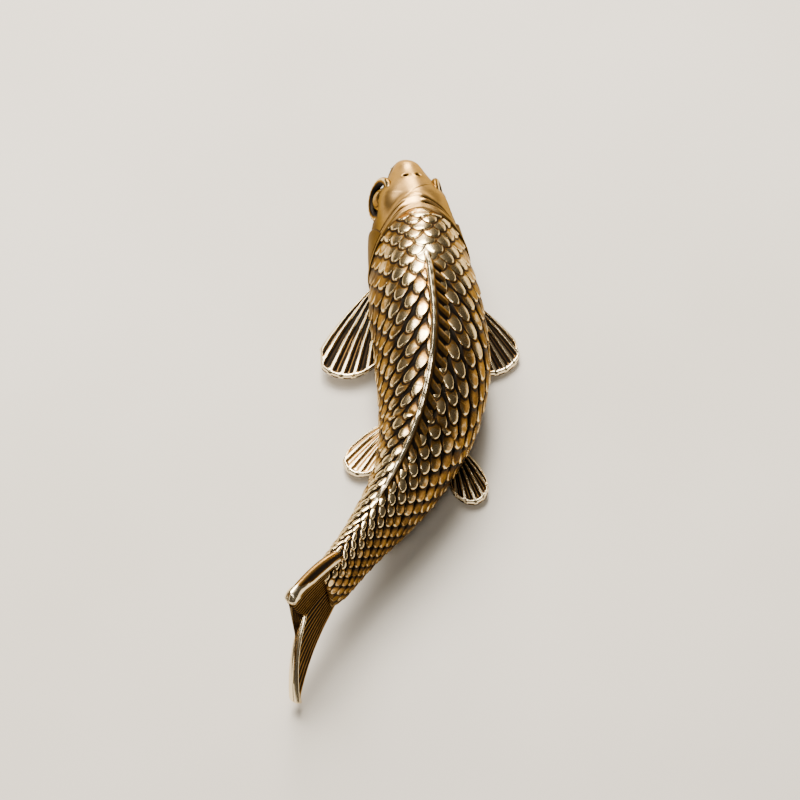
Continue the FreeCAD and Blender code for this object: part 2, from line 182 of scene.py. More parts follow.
class Skin:
    """Closed surface made of rings of points, each closed on itself, with both ends capped."""

    def __init__(self, name: str, slot: str, node: str, rings: Array, patina: Array,
                 rub: Array | float = 0.0, tone: Array | float = 0.0) -> None:
        """Keeps what the piece is made from.

        Args:
            name: Name of the piece.
            slot: Slot of the record for its finish.
            node: CAD node that it stands for.
            rings: Points in millimetres, rows by columns by 3.
            patina: Darkness, held from 0 to 1: oxide, and painted shade where it is added.
            rub: Wear to bare metal, and painted highlight where it is added.
            tone: Darkness of a whole scale.
        """
        self.name, self.slot, self.node, self.rings = name, slot, node, rings
        self.marks = {"patina": np.clip(patina, 0.0, 1.0), "rub": rub, "tone": tone}

    def build(self, material: bpy.types.Material) -> None:
        """Makes the mesh, dresses it and ties it to the frame.

        Quads join neighbouring points of neighbouring rings; each cap is a fan about its ring's
        mean point. All faces are turned if the signed volume, the sum of the triple products of
        their corners, comes out negative.

        Args:
            material: Finish of the piece.
        """
        rows, cols = self.rings.shape[:2]
        ends = self.rings[[0, -1]].mean(axis=1)
        points = np.vstack([self.rings.reshape(-1, 3), ends])
        index = np.arange(rows * cols).reshape(rows, cols)
        after = np.roll(index, -1, axis=1)
        quads = np.stack([index[:-1], after[:-1], after[1:], index[1:]], -1).reshape(-1, 4)
        first = np.full(cols, rows * cols)
        fans = np.vstack([np.stack([after[0], index[0], first], -1),
                          np.stack([index[-1], after[-1], first + 1], -1)])
        split = np.vstack([quads[:, [0, 1, 2]], quads[:, [0, 2, 3]], fans])
        a, b, c = points[split].transpose(1, 0, 2)
        if np.einsum("ij,ij->i", a, np.cross(b, c)).sum() < 0:
            quads, fans = quads[:, ::-1], fans[:, ::-1]
        corners = np.concatenate([quads.ravel(), fans.ravel()])
        sizes = np.concatenate([np.full(len(quads), 4), np.full(len(fans), 3)])
        starts = np.concatenate([[0], np.cumsum(sizes)[:-1]])
        mesh = bpy.data.meshes.new(self.name)
        mesh.vertices.add(len(points))
        mesh.vertices.foreach_set("co", (points * MM).astype(np.float32).ravel())
        mesh.loops.add(len(corners))
        mesh.loops.foreach_set("vertex_index", corners.astype(np.int32))
        mesh.polygons.add(len(sizes))
        mesh.polygons.foreach_set("loop_start", starts.astype(np.int32))
        mesh.polygons.foreach_set("use_smooth", np.ones(len(sizes), bool))
        for mark, values in self.marks.items():
            whole = np.broadcast_to(values, (rows, cols))
            whole = np.append(whole, [whole.mean()] * 2)
            data = mesh.attributes.new(mark, "FLOAT", "POINT").data
            data.foreach_set("value", whole.astype(np.float32))
        mesh.update(calc_edges=True)
        mesh.validate()
        piece = show(self.name, mesh)
        mesh.materials.append(material)
        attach(piece, "root")
        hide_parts(self.node)
        log.info("%s: %d faces", self.name, len(sizes))


# ---- Finishes ----


class Nodes:
    """Material that starts empty and gets its nodes one by one."""

    def __init__(self, name: str) -> None:
        """Makes the empty material of that name."""
        self.material = bpy.data.materials.new(name)
        self.material.use_nodes = True
        self.tree = self.material.node_tree
        self.tree.nodes.clear()

    def add(self, kind: str, settings: dict | None = None, **inputs: Any) -> bpy.types.Node:
        """Adds one node with its settings and links.

        Args:
            kind: Node type without its leading ShaderNode.
            settings: Properties of the node; color_ramp is a list of places and hex colours.
            inputs: Sockets by name, spaces as underscores, or by number after an n. Each is a
                value, another node's output, or a node, which stands for its first output.

        Returns:
            The node.
        """
        node = self.tree.nodes.new("ShaderNode" + kind)
        for name, value in (settings or {}).items():
            if name == "color_ramp":
                stops = node.color_ramp.elements
                while len(stops) < len(value):
                    stops.new(0.5)
                for stop, (place, code) in zip(stops, value):
                    stop.position, stop.color = place, colour(code)
            else:
                setattr(node, name, value)
        for name, value in inputs.items():
            socket = node.inputs[int(name[1:]) if name[1:].isdigit() else name.replace("_", " ")]
            if isinstance(value, bpy.types.Node):
                value = value.outputs[0]
            if isinstance(value, bpy.types.NodeSocket):
                self.tree.links.new(value, socket)
            else:
                socket.default_value = value
        return node


@dataclass(frozen=True)
class AgedBrass:
    """Cast brass, darkened all over and then rubbed: what stands out shines pale gold, faces are a
    warm brown, and recesses are nearly black and dull.

    The skin's oxide darkening, which also holds painted shade, and its tone, less half of its
    rubbing, which also holds painted highlights, pick colour, roughness and how metallic the film
    is. Blotches of about 2 mm, as wax leaves them, and fine speckles, as a casting's pits, make it
    uneven. The grain's bump is too fine to show, so it is drawn coarser. Sizes are in millimetres.
    """

    name: str
    bare: str = "#F2DAA8"
    face: str = "#8C6834"
    film: str = "#3D2913"
    recess: str = "#080606"
    glance: str = "#D6C3A0"
    smooth_roughness: float = 0.2
    recess_roughness: float = 0.55
    recess_metal: float = 0.3
    blotch: float = 2.2
    blotch_share: float = 0.22
    speckle: float = 0.35
    speckle_share: float = 0.18
    rub_share: float = 0.5
    steps: Row = (0.0, 0.25, 0.55, 0.8)
    glance_level: float = 0.2
    grain: float = 0.12
    grain_depth: float = 0.012
    grain_strength: float = 0.35

    def build(self) -> bpy.types.Material:
        """Makes the material.

        Returns:
            The material.
        """
        nodes = Nodes(self.name)
        place = nodes.add("TexCoord").outputs["Object"]
        # Marks read from the skin: oxide with painted shade, rubbing with painted highlight, and
        # tone.
        patina, rub, tone = (nodes.add("Attribute", {"attribute_name": mark}).outputs["Fac"]
                             for mark in ("patina", "rub", "tone"))
        darkness = nodes.add("Math", {"operation": "ADD"}, n0=patina, n1=tone)
        for size, share, detail in ((self.blotch, self.blotch_share, 3.0),
                                    (self.speckle, self.speckle_share, 4.0)):
            noise = nodes.add("TexNoise", Vector=place, Scale=1 / (size * MM), Detail=detail)
            uneven = nodes.add("MapRange", Value=noise, To_Min=-share, To_Max=share)
            darkness = nodes.add("Math", {"operation": "ADD"}, n0=darkness, n1=uneven)
        # Half the rubbing and painted highlight is taken off the darkness, which picks the colour.
        darkness = nodes.add("Math", {"operation": "MULTIPLY_ADD", "use_clamp": True}, n0=rub,
                         n1=-self.rub_share, n2=darkness)
        stops = zip(self.steps, (self.bare, self.face, self.film, self.recess))
        shade = nodes.add("ValToRGB", {"color_ramp": list(stops)}, Fac=darkness)
        rough = nodes.add("MapRange", Value=darkness, To_Min=self.smooth_roughness,
                          To_Max=self.recess_roughness)
        squared = nodes.add("Math", {"operation": "MULTIPLY"}, n0=darkness, n1=darkness)
        metallic = nodes.add("MapRange", Value=squared, To_Min=1.0, To_Max=self.recess_metal)
        grain = nodes.add("TexNoise", Vector=place, Scale=1 / (self.grain * MM), Detail=2.0)
        bump = nodes.add("Bump", Strength=self.grain_strength,
                         Distance=self.grain_depth * MM, Height=grain)
        shader = nodes.add("BsdfPrincipled", Base_Color=shade, Metallic=metallic, Roughness=rough,
                           Specular_IOR_Level=self.glance_level,
                           Specular_Tint=colour(self.glance), Normal=bump)
        nodes.add("OutputMaterial", Surface=shader)
        return nodes.material


@dataclass(frozen=True)
class PaleFloor:
    """Matt off-white ground with a faint mottle."""

    name: str = "pale_floor"
    light: str = "#CFCAC0"
    dark: str = "#C6C0B5"
    mottle: float = 60.0
    roughness: float = 0.8

    def build(self) -> bpy.types.Material:
        """Makes the material.

        Returns:
            The material.
        """
        nodes = Nodes(self.name)
        place = nodes.add("TexCoord").outputs["Object"]
        noise = nodes.add("TexNoise", Vector=place, Scale=1 / (self.mottle * MM), Detail=3.0)
        stops = [(0.3, self.dark), (0.7, self.light)]
        shade = nodes.add("ValToRGB", {"color_ramp": stops}, Fac=noise)
        shader = nodes.add("BsdfPrincipled", Base_Color=shade, Roughness=self.roughness)
        nodes.add("OutputMaterial", Surface=shader)
        return nodes.material


# The same cast brass in each slot of the record: coarse and dark on the scales, satin on the
# file-smoothed head, shinier on the eyes, and paler on the fins as a painted highlight.
FINISHES = {
    "scaled_brass": AgedBrass("aged_brass_scales"),
    "smooth_brass": AgedBrass("satin_brass_head", bare="#B48F58", face="#82663A", film="#45321A",
                              smooth_roughness=0.32, recess_metal=0.7, blotch_share=0.1,
                              speckle_share=0.08, grain=0.2),
    "polished_brass": AgedBrass("polished_brass_eyes", smooth_roughness=0.13, speckle_share=0.1),
    # The fins' paler bare colour is a painted highlight for the light that they catch.
    "fin_brass": AgedBrass("aged_brass_fins", bare="#FBE9C2", blotch_share=0.1, speckle_share=0.1),
}


# ---- The fish's own frame ----


@dataclass(frozen=True)
class Spine:
    """Line that the fish follows: straight from the snout, an arc to its left, then straight."""

    start_x: float = -0.81
    start_y: float = 40.62
    head_yaw: float = -7.4
    straight_length: float = 29.4
    bend_radius: float = 39.6
    bend_length: float = 28.0
    head_roll: float = 6.5
    twist_rate: float = 0.18
    axis_height: float = 8.5

    def place(self, along: Array, side: Array, height: Array, ahead: Array | float = 0.0) -> Array:
        """Points of the part's frame.

        The spine's point and heading come from its three stretches. Side and height are turned
        about it by the roll there, which falls evenly from the snout.

        Args:
            along: Distance from the snout along the spine.
            side: Distance to the fish's right.
            height: Height over the ground before the roll.
            ahead: Distance forwards from that point of the spine.

        Returns:
            Points, three coordinates each, in millimetres.
        """
        along, side, height, ahead = np.broadcast_arrays(along, side, height, ahead)
        start = math.radians(self.head_yaw)
        fore = np.minimum(along, self.straight_length)
        bend = np.clip(along - self.straight_length, 0.0, self.bend_length)
        aft = np.maximum(along - self.straight_length - self.bend_length, 0.0)
        yaw = start + bend / self.bend_radius
        roll = np.radians(self.head_roll - self.twist_rate * along)
        up = height - self.axis_height
        across = side * np.cos(roll) + up * np.sin(roll)
        x = self.start_x - fore * math.sin(start) - aft * np.sin(yaw)
        x = x + self.bend_radius * (np.cos(yaw) - math.cos(start))
        x = x + across * np.cos(yaw) + ahead * np.sin(yaw)
        y = self.start_y - fore * math.cos(start) - aft * np.cos(yaw)
        y = y - self.bend_radius * (np.sin(yaw) - math.sin(start))
        y = y - across * np.sin(yaw) + ahead * np.cos(yaw)
        return np.stack([x, y, self.axis_height - side * np.sin(roll) + up * np.cos(roll)], -1)


@dataclass(frozen=True)
class Trunk:
    """Ellipses along the spine: distance from the snout, half width, top and bottom of each."""

    spine: Spine = Spine()
    along: Row = (0.0, 0.9, 2.6, 7.0, 12.0, 18.0, 25.0, 33.0, 41.0, 49.0, 57.0, 64.0, 70.0, 72.5)
    half_width: Row = (0.8, 1.7, 2.5, 4.3, 5.9, 6.6, 7.5, 7.6, 6.7, 5.0, 3.5, 2.5, 2.0, 1.3)
    top: Row = (8.9, 10.8, 12.3, 14.9, 16.7, 18.0, 18.5, 18.1, 16.8, 14.9, 13.3, 12.4, 12.5, 12.2)
    bottom: Row = (7.2, 5.4, 3.8, 1.4, 0.2, -0.3, -0.4, -0.4, -0.1, 0.9, 2.4, 3.5, 3.8, 4.3)
    gill_centre: float = 5.7
    gill_height: float = 6.5
    gill_radius: float = 12.8

    def outline(self, along: Array) -> tuple[Array, Array, Array]:
        """Half width, middle height and half height at distances from the snout."""
        top, bottom = (smooth(self.along, level, along) for level in (self.top, self.bottom))
        return smooth(self.along, self.half_width, along), (top + bottom) / 2, (top - bottom) / 2

    def surface(self, along: Array, around: Array, lift: Array | float = 0.0) -> Array:
        """Points on the trunk: an ellipse's sine across and cosine up, both half axes grown by
        the lift, and nothing below the ground.

        Args:
            along: Distance from the snout.
            around: Angle from the back, positive to the fish's right.
            lift: Height over the plain trunk.

        Returns:
            Points in millimetres.
        """
        half_width, middle, half_height = self.outline(along)
        points = self.spine.place(along, (half_width + lift) * np.sin(around),
                                  middle + (half_height + lift) * np.cos(around))
        points[..., 2] = np.maximum(points[..., 2], 0.0)
        return points

    def gill_line(self, around: Array) -> Array:
        """Where the scales begin, a circle seen from the side, found by stepping to the circle from
        the height of the last guess.

        Args:
            around: Angle from the back.

        Returns:
            Distance from the snout.
        """
        along = np.full_like(around, 15.0)
        for _ in range(12):
            _, middle, half_height = self.outline(along)
            rise = middle + half_height * np.cos(around) - self.gill_height
            along = self.gill_centre + np.sqrt(np.maximum(self.gill_radius ** 2 - rise ** 2, 0.0))
        return along


TRUNK = Trunk()


# ---- Scaled trunk ----


@dataclass(frozen=True)
class Scales:
    """Rows of tongue-shaped scales that overlap backwards and lean away from the ridge.

    Their centres stand on a lattice of rows along the fish and columns around it, fewer on the
    stalk, each column half a row behind its neighbours. The surface is the highest of the tongues
    at a point. Half lengths and widths are shares of the row pitch and the column step.
    """

    columns: int = 36
    stalk_columns: int = 28
    thinning: float = 46.0
    stations: Row = (10.0, 14.0, 20.0, 26.0, 32.0, 39.0, 45.0, 51.0, 58.0, 66.0, 74.0)
    pitches: Row = (2.0, 2.2, 2.8, 3.4, 3.9, 3.9, 3.3, 2.7, 2.2, 1.9, 1.8)
    height: float = 0.42
    lean: float = 44.0
    rim: float = 0.16
    half_length: float = 0.45
    half_width: float = 0.72
    foremost_growth: float = 0.28
    ridge_growth: float = 0.45
    row_jitter: float = 0.08
    column_jitter: float = 0.1
    tone_jitter: float = 0.2
    nape_spot: float = 21.8
    bare_end: float = 15.2

    def rows(self, along: Array) -> Array:
        """Number of rows passed from the head, the sum of one over the row pitch."""
        fine = np.linspace(0.0, 80.0, 1601)
        count = np.cumsum(1.0 / smooth(self.stations, self.pitches, fine)) * (fine[1] - fine[0])
        return np.interp(along, fine, count)

    def relief(self, along: Array, around: Array) -> dict[str, Array]:
        """Looks of the scaled surface: the higher of the two lattices at each point, where the
        trunk's fades into the stalk's.

        Args:
            along: Distance from the snout.
            around: Angle from the back.

        Returns:
            Height in millimetres, oxide and painted shade, rubbing and painted highlight, and tone.
        """
        fade = self.thinning
        fore = self.tongues(self.columns, along, around, ease(fade + 1.0, fade - 0.6, along))
        aft = self.tongues(self.stalk_columns, along, around, ease(fade - 1.0, fade + 0.6, along))
        higher = fore["height"] >= aft["height"]
        return {mark: np.where(higher, fore[mark], aft[mark]) for mark in fore}

    def tongues(self, columns: int, along: Array, around: Array, share: Array) -> dict[str, Array]:
        """Looks of one lattice.

        For each near lattice point, a point's place is turned into the scale's own length a and
        width c. The tongue's reach is the root of (a / half length)2 + (c / half width)2, with a
        longer half length in front. Its height rises from a third at the front to the whole at
        the rear, is domed across, and falls to nothing over the rim. A bright line just inside the
        rim is rubbed metal and painted highlight, and a painted shadow follows each rear end on the
        scale below. The low front of each scale, under the tip before it, is dark with oxide and
        painted shade. The back of the stalk and a patch on the nape get a painted highlight, the
        flanks get painted shade, and the front of the nape is plain.

        Args:
            columns: Number of columns around the trunk.
            along: Distance from the snout.
            around: Angle from the back.
            share: Factor on the height.

        Returns:
            Height in millimetres, oxide and painted shade, rubbing and painted highlight, and tone.
        """
        half_width, _, half_height = TRUNK.outline(along)
        girth = np.hypot(half_width * np.cos(around), half_height * np.sin(around)) * 2 * math.pi
        step = girth / columns
        pitch = smooth(self.stations, self.pitches, along)
        growth = 1 + self.foremost_growth * ease(29.0, 20.0, along)
        long = pitch * self.half_length * growth
        row = self.rows(along)
        column = around * columns / (2 * math.pi)
        top, rub, tone, edge_shadow = (np.zeros_like(along) for _ in range(4))
        for shift in range(-2, 3):
            col = np.round(column) + shift
            offset = np.where(np.mod(col, 2) == 0, 0.0, 0.5)
            base = np.round(row - offset)
            away = col * 2 * math.pi / columns
            angle = np.radians(self.lean) * np.sign(away) * ease(0.0, 0.45, np.abs(away))
            angle = angle * (1 - 0.45 * ease(0.8, 1.7, np.abs(away)))
            ridge = 1 + self.ridge_growth * bell(away, 0.0, 0.15) * ease(27.0, 21.0, along)
            for back in (-1, 0, 1):
                line = base + back
                jitter, sway = (scatter(line, np.mod(col, columns), salt) - 0.5
                                for salt in (1.0, 2.0))
                down = (row - line - offset + self.row_jitter * jitter) * pitch
                out = (column - col + self.column_jitter * sway) * step
                a = down * np.cos(angle) + out * np.sin(angle)
                c = out * np.cos(angle) - down * np.sin(angle)
                wide = step * (self.half_width + 0.05 * jitter) * growth * ridge
                front = np.where(a < 0, 1.2, 1.0)
                reach = np.sqrt((a / (long * front)) ** 2 + (c / wide) ** 2)
                inside = ease(0.0, 1.0, (1.0 - reach) * np.minimum(long, wide) / self.rim)
                slope = 0.34 + 0.66 * ease(-1.3, 0.75, a / long)
                dome = 1.0 - 0.3 * (c / wide) ** 2
                here = self.height * slope * dome * inside * share
                rear = ease(-0.4, 0.4, a / long)
                higher = here > top
                top = np.where(higher, here, top)
                # Bright line just inside each scale's rear rim: rubbed metal and painted highlight.
                rub = np.where(higher, bell(reach, 0.86, 0.1) * rear * inside, rub)
                tone = np.where(higher, jitter * self.tone_jitter, tone)
                # Painted shadow of each scale's rear end, on the lower scale just outside it.
                edge_shadow = np.maximum(edge_shadow, bell(reach, 1.08, 0.1) * ease(-0.2, 0.4, a / long))
        shown = top / self.height
        side = np.abs(around)
        # Painted shade on the flanks, a little stronger towards the head; the low front of each
        # scale, under the tip before it, is dark with oxide and painted shade.
        flank = (0.3 + 0.08 * ease(34.0, 26.0, along)) * ease(0.6, 1.3, side)
        patina = 1.0 - ease(0.18, 0.85, shown) * (0.9 - flank)
        # The painted shadow darkens the lower scale behind each rear end.
        patina = np.maximum(patina, 0.95 * edge_shadow * ease(0.95, 0.7, shown))
        # Painted highlight along the back of the stalk and on a patch of the nape; it also lifts
        # the rubbing and lightens the oxide.
        painted_highlight = ease(49.0, 55.0, along) * ease(1.0, 0.35, np.abs(around + 0.12))
        nape_highlight = bell(along, self.nape_spot, 2.2) * bell(around, 0.02, 0.2)
        painted_highlight = np.maximum(painted_highlight * ease(0.2, 0.6, shown), nape_highlight)
        bare = ease(0.75, 0.35, side) * ease(self.bare_end, self.bare_end - 1.4, along)
        patina = patina * (1 - 0.75 * painted_highlight) * (1 - bare) + 0.3 * bare
        rub = np.clip(rub + 0.4 * painted_highlight, 0, 1) * (1 - bare)
        return {"height": top * (1 - 0.85 * bare), "patina": patina, "rub": rub, "tone": tone}


@dataclass
class Body:
    """Scaled trunk behind the head, in a fore and an aft skin that meet inside the fish."""

    scales: Scales = Scales()
    fore_grid: tuple[int, int] = (245, 400)
    aft_grid: tuple[int, int] = (290, 320)
    start_gap: float = 0.5
    parting: float = 42.0
    end: float = 71.8
    fringe: float = 70.4
    sink: float = 0.2
    tuck: float = 0.7

    def skin(self, name: str, start: Array, end: float, grid: tuple[int, int],
             tucked: bool) -> Skin:
        """Rings of scaled surface between two distances from the snout.

        Args:
            name: Name of the piece.
            start: Distance of the first ring at each angle.
            end: Distance of the last ring.
            grid: Number of rings and of points in each.
            tucked: Whether the first ring dives under the head's rim.

        Returns:
            The skin.
        """
        around = np.broadcast_to(angles(grid[1]), grid)
        along = start + (end - start) * np.linspace(0.0, 1.0, grid[0])[:, None]
        marks = self.scales.relief(along, around)
        flat = TRUNK.surface(along, around)[..., 2]
        shown = ease(0.0, 1.2, flat) * (1 - ease(self.fringe - 1.5, self.fringe + 1.5, along))
        lift = marks.pop("height") * shown - self.sink
        if tucked:
            lift = lift - self.tuck * (1 - ease(0.0, 0.5, along - start))
        fringe = (1 - shown) * (along > self.fringe - 2)
        marks["patina"] = marks["patina"] - 0.15 * fringe
        return Skin(name, "scaled_brass", "body", TRUNK.surface(along, around, lift), **marks)

    def skins(self) -> list[Skin]:
        """The fore and the aft skin, parted inside the fish.

        Returns:
            The two skins.
        """
        start = TRUNK.gill_line(angles(self.fore_grid[1])) - self.start_gap
        middle = np.full(self.aft_grid[1], self.parting)
        return [self.skin("scaled_trunk_fore", start, self.parting, self.fore_grid, True),
                self.skin("scaled_trunk_aft", middle, self.end, self.aft_grid, False)]


# ---- Head ----


@dataclass(frozen=True)
class EyeSeat:
    """Where an eye sits in the cheek, which way it looks, and the brow that swells over it."""

    side: Side
    along: float = 7.9
    across: float = 3.55
    shift: float = -0.2
    lag: float = 0.6
    height: float = 11.3
    tilt: float = 20.0
    sway: float = 4.0
    brow_across: float = 1.6
    brow_height: float = 12.1
    brow_wide: float = 2.55
    brow_high: float = 2.6
    brow_long: float = 5.2
    brow_pitch: float = 22.0
    brow_splay: float = 0.38
    brow_blend: float = 0.7

    def back(self) -> float:
        """How far this eye lies behind the left one."""
        return self.lag if self.side is Side.RIGHT else 0.0

    def place(self, out: Array, ahead: Array, up: Array) -> Array:
        """Points of the part's frame, from the eye's own directions tilted about the spine.

        Args:
            out: Distance outwards from the eye's point in the cheek.
            ahead: Distance forwards.
            up: Distance upwards.

        Returns:
            Points in millimetres.
        """
        sign = self.side.value
        tilt = math.radians(self.tilt - sign * self.sway)
        side = sign * (out * math.cos(tilt) - up * math.sin(tilt))
        rise = out * math.sin(tilt) + up * math.cos(tilt)
        return TRUNK.spine.place(np.full(out.shape, self.along),
                                 self.shift + sign * self.across + side, self.height + rise,
                                 ahead - self.back())

    def brow(self, along: Array, around: Array) -> Array:
        """Lift of the brow: how far a ray from the trunk's surface runs before it leaves the
        swelling's section, an ellipse, as the larger root of a quadratic. The mean of that run and
        its hypotenuse with the blend rounds the foot; a ray that only grazes fades out.

        Args:
            along: Distance from the snout.
            around: Angle from the back.

        Returns:
            Lift in millimetres, nothing outside the swelling.
        """
        half_width, middle, half_height = TRUNK.outline(along)
        behind = along - self.along - self.back()
        shrink = np.sqrt(np.maximum(1 - (behind / self.brow_long) ** 2, 0.0))
        wide, high = self.brow_wide * shrink + 1e-3, self.brow_high * shrink + 1e-3
        centre = self.shift + self.side.value * (self.brow_across + self.brow_splay * behind)
        level = self.brow_height + behind * math.tan(math.radians(self.brow_pitch))
        x = (half_width * np.sin(around) - centre) / wide
        y = (middle + half_height * np.cos(around) - level) / high
        across, up = np.sin(around) / wide, np.cos(around) / high
        a, b = across ** 2 + up ** 2, x * across + y * up
        inside = b * b - a * (x * x + y * y - 1)
        run = (np.sqrt(np.maximum(inside, 0.0)) - b) / a
        fade = ease(0.0, 0.06, inside / a) * ease(5.2, 0.3, behind)
        return (run + np.hypot(run, self.brow_blend)) / 2 * fade


@dataclass
class Head:
    """Smooth head from the snout to the gill line.

    The grooves, the band between them and the crown on the occiput are placed forwards from the
    gill line, the knob and the nostrils back from the snout.
    """

    eyes: tuple[EyeSeat, EyeSeat] = (EyeSeat(Side.LEFT), EyeSeat(Side.RIGHT))
    rows: int = 230
    cols: int = 400
    overlap: float = 0.25
    crowding: float = 1.25
    snout: float = 1.1
    jaw_length: float = 5.6
    jaw_height: float = 5.0
    jaw_pitch: float = 24.0
    rim_lift: float = 0.3
    grooves: tuple[float, float] = (0.8, 1.7)
    groove_width: float = 0.17
    groove_depth: float = 0.26
    band: float = 1.25
    band_lift: float = 0.12
    crown: float = 2.0
    crown_lift: float = 0.3
    knob: float = 2.7
    knob_lift: float = 0.5
    hollow: float = 2.9
    hollow_depth: float = 0.75
    nostril_along: float = 6.2
    nostril_angle: float = 0.2
    nostril_size: float = 0.42
    nostril_depth: float = 0.5

    def roof(self, along: Array) -> Array:
        """Height of the plane over the jaw, which rises forwards."""
        return self.jaw_height + (self.jaw_length - along) * math.tan(math.radians(self.jaw_pitch))

    def carved(self, behind: Array, along: Array, around: Array) -> tuple[Array, Array, Array]:
        """Forms that are bells of a distance: rim, two grooves and the band between them along the
        gill line, and the swellings of the occiput and the snout.

        Args:
            behind: Distance forwards from the gill line.
            along: Distance from the snout.
            around: Angle from the back.

        Returns:
            Lift in millimetres, oxide and painted shade, and rubbing and painted highlight.
        """
        away = np.abs(around)
        flank = ease(0.1, 0.5, away)
        rim = ease(0.75, 0.35, behind) * self.rim_lift
        shown = np.where(around > 0, ease(0.04, 0.2, away), ease(0.25, 0.45, away))
        shown = ease(2.2, 1.6, away) * shown
        groove = sum(bell(behind, at, self.groove_width) for at in self.grooves) * shown
        band = bell(behind, self.band, 0.22) * shown
        crown = bell(behind, self.crown, 0.9) * ease(0.6, 0.2, np.abs(around + 0.12))
        knob = bell(along, self.knob, 1.4) * ease(0.95, 0.35, away)
        lift = rim * flank - self.groove_depth * groove + self.band_lift * band
        lift = lift + self.crown_lift * crown + self.knob_lift * knob
        # Painted shade: the sides of the head and the flanks of the snout are darkened.
        cheek = 0.45 * ease(0.7, 1.25, away) + 0.3 * ease(5.5, 3.0, along) * ease(0.55, 1.0, away)
        seam = 0.35 * ease(0.4, 0.1, behind) * ease(0.4, 0.8, away)
        patina = 0.1 + np.minimum(cheek, 0.48) + groove + seam
        # Painted highlights, partly rubbed metal: the crown on the occiput, the band between the
        # grooves, the rim along the gill line on the sides, and the knob on the snout.
        rub = 0.9 * crown + 0.9 * band + 0.9 * bell(behind, 0.4, 0.16) * flank + 0.8 * knob
        return lift, patina, rub

    def skin(self) -> Skin:
        """The head.

        Rings run from the snout, where they are crowded, to the gill line, the first drawn in like
        a quarter circle. The brows, hollows about the eyes and pits for the nostrils are added to
        the carved forms, and what would hang under the jaw's plane is pressed up to it.

        Returns:
            The skin.
        """
        angle = angles(self.cols, 0.2)
        around = np.broadcast_to(angle, (self.rows, self.cols))
        seam = TRUNK.gill_line(angle)
        share = np.linspace(0.0, 1.0, self.rows)[:, None] ** self.crowding
        along = share * (seam + self.overlap)
        lift, patina, rub = self.carved(seam - along, along, around)
        for eye in self.eyes:
            lift = lift + eye.brow(along, around)
        place = TRUNK.surface(along, around, lift)
        lean = place[..., 2] + 0.11 * place[..., 0]
        for eye in self.eyes:
            centre = eye.place(np.full(1, 0.6), np.zeros(1), np.full(1, -0.6))[0]
            gap = np.linalg.norm(place - centre, axis=-1)
            below = ease(12.9, 12.1, lean - 0.2 * (along - eye.along))
            lift = lift - self.hollow_depth * ease(self.hollow, self.hollow - 1.0, gap) * below
            patina = patina + 0.9 * ease(self.hollow + 0.5, self.hollow - 0.5, gap) * below
        half_width, _, _ = TRUNK.outline(along)
        for sign in (-1, 1):
            sideways = (around - sign * self.nostril_angle) * half_width
            gap = np.hypot(along - self.nostril_along, sideways)
            pit = ease(self.nostril_size, 0.1, gap)
            lip = bell(gap, self.nostril_size + 0.12, 0.12)
            lift = lift - self.nostril_depth * pit + 0.06 * lip
            patina = patina + pit
        lift = lift + (rounded(along, self.snout) - 1.0) * half_width
        rings = TRUNK.surface(along, around, lift)
        roof = self.roof(along)
        mouth = (along < self.jaw_length) & (rings[..., 2] < roof)
        rings[..., 2] = np.where(mouth, roof, rings[..., 2])
        patina = np.where(mouth, 0.9, patina)
        return Skin("head_skin", "smooth_brass", "head", rings, patina, rub)


@dataclass
class LowerJaw:
    """Jaw under the snout, its upper face on the mouth's plane."""

    head: Head
    rows: int = 60
    cols: int = 120
    tip: float = 0.25
    tip_round: float = 1.3
    overlap: float = 0.08
    gap: float = 0.12

    def skin(self) -> Skin:
        """The jaw: rings of the trunk's lower half, pressed down to the mouth's plane and
        drawn in towards the tip. The last ring is tucked under the head's skin.

        Returns:
            The skin.
        """
        around = angles(self.cols, 0.0)[None, :]
        end = self.head.jaw_length + self.overlap
        along = np.linspace(self.tip, end, self.rows)[:, None]
        half_width, _, _ = TRUNK.outline(along)
        lift = (rounded(along, self.tip_round) - 1.0) * half_width
        lift = lift - 0.2 * ease(end - 0.25, end - 0.05, along)
        rings = TRUNK.surface(along, around, lift)
        roof = self.head.roof(along) - self.gap
        lip = bell(rings[..., 2] - roof, 0.0, 0.35)
        rings[..., 2] = np.minimum(rings[..., 2], roof)
        return Skin("lower_jaw_skin", "smooth_brass", "lower_jaw", rings, 0.45 + 0.4 * lip,
                    0.3 * lip)


